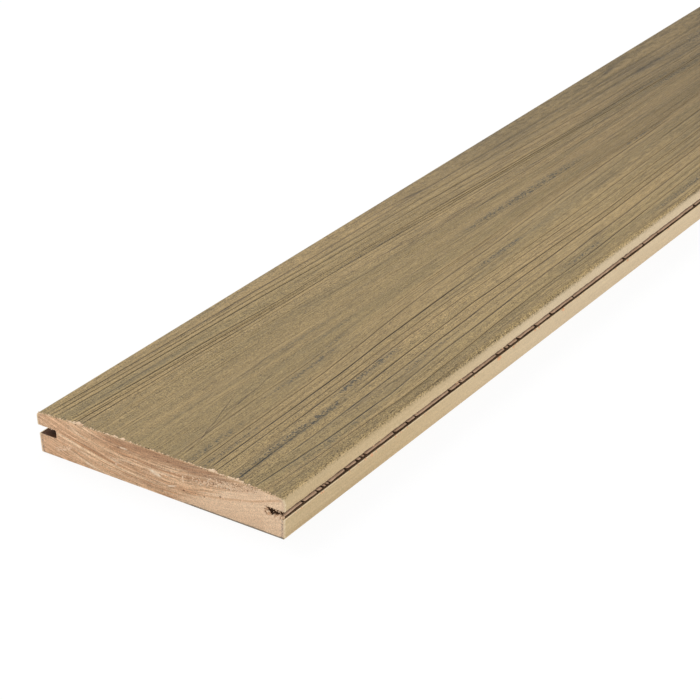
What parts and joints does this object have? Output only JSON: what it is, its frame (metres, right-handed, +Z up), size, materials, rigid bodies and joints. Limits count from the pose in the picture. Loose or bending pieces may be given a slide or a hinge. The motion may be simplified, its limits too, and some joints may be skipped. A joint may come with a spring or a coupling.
{
  "type": "grooved composite deck board",
  "caption": "Solid wood-plastic deck board, 140 by 22 mm, with a crowned, wood-grained walking face, a clip groove along each side and square-cut ends.",
  "frame": {"origin": "middle of the flat underside, halfway along and halfway across the board", "axes": "+X along the board's length, +Y across its width, +Z up out of the crowned walking face"},
  "size_m": [2.44, 0.14, 0.0217],
  "materials": {
    "composite": "matte"
  },
  "bodies": {
    "root": {"deck_board": "composite"}
  },
  "joints": []
}
